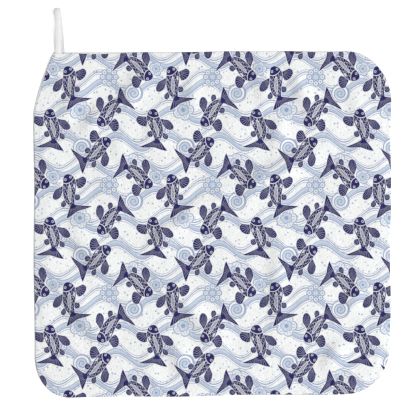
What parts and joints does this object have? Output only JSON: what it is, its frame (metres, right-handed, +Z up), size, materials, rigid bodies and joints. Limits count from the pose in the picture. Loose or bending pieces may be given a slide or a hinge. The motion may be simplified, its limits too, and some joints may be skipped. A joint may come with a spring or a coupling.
{
  "type": "hand towel",
  "caption": "Square printed hand towel with round corners and a hanging loop of tape at one corner, lying flat with soft folds.",
  "frame": {"origin": "middle of the cloth's flat underside, on the surface that it lies on", "axes": "+Z up, out of the printed face; +Y towards the side of the cloth that carries the loop; +X to the right of the printed face"},
  "size_m": [0.3056, 0.3324, 0.0099],
  "materials": {
    "printed_cloth": "soft short pile, white with an indigo and pale steel-blue print on the upper face",
    "loop_tape": "white woven tape with a slight sheen"
  },
  "bodies": {
    "root": {"cloth": "printed_cloth", "hanging_loop": "loop_tape"}
  },
  "joints": []
}
